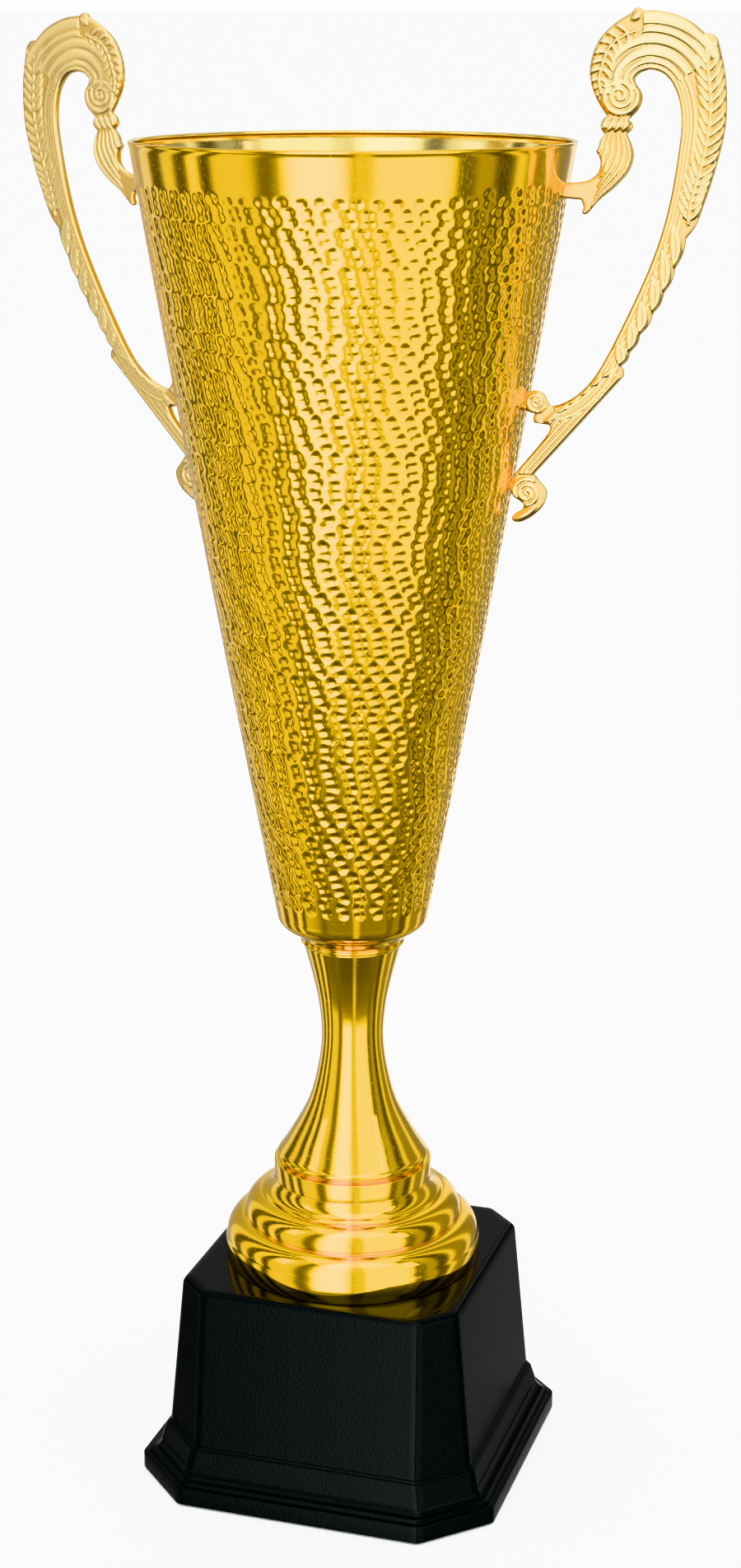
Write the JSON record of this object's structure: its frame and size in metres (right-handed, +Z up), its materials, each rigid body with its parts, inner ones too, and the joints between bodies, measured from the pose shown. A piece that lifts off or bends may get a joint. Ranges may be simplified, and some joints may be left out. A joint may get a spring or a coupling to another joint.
{
  "type": "two-handled presentation cup",
  "caption": "Tall conical gilt presentation cup with hammered bowl, scrolled side handles, spool stem, stepped round foot and a black eight-sided plinth.",
  "frame": {"origin": "on the ground at the centre of the plinth", "axes": "+Z up along the cup's axis, -Y the front of the plinth, +X towards the right-hand handle"},
  "size_m": [0.3035, 0.1796, 0.627],
  "materials": {
    "gold_metal": "polished gold lacquer over spun metal",
    "champagne_plastic": "metallised, pale champagne gold",
    "gold_plastic": "metallised, polished gold",
    "black_plastic": "glossy top, fine grain on the sides",
    "inner_plastic": "moulded, unpainted",
    "plated_steel": "zinc plated",
    "ballast": "cast, rough",
    "board": "plain grey board",
    "felt": "felt"
  },
  "bodies": {
    "base": {"base_shell": "black_plastic", "base_ballast": "ballast", "base_cover": "board", "felt_pads": "felt"},
    "cup": {"foot_shell": "gold_metal", "foot_support": "inner_plastic", "foot_collar": "gold_plastic", "stem": "gold_plastic", "stem_plug": "inner_plastic", "bowl_collar": "gold_plastic", "cup_bowl": "gold_metal", "bowl_washer": "plated_steel", "top_nut": "plated_steel", "tie_rod": "plated_steel", "lower_washer": "plated_steel", "spring_washer": "plated_steel", "lower_nut": "plated_steel", "handle_right": "champagne_plastic", "handle_left": "champagne_plastic", "handle_screws": "plated_steel", "handle_washers": "plated_steel"}
  },
  "joints": [
    {"name": "cup_swivel", "type": "hinge", "parent": "base", "child": "cup", "pos_m": [0, 0, 0.0934], "axis": [0, 0, 1], "continuous": true}
  ]
}
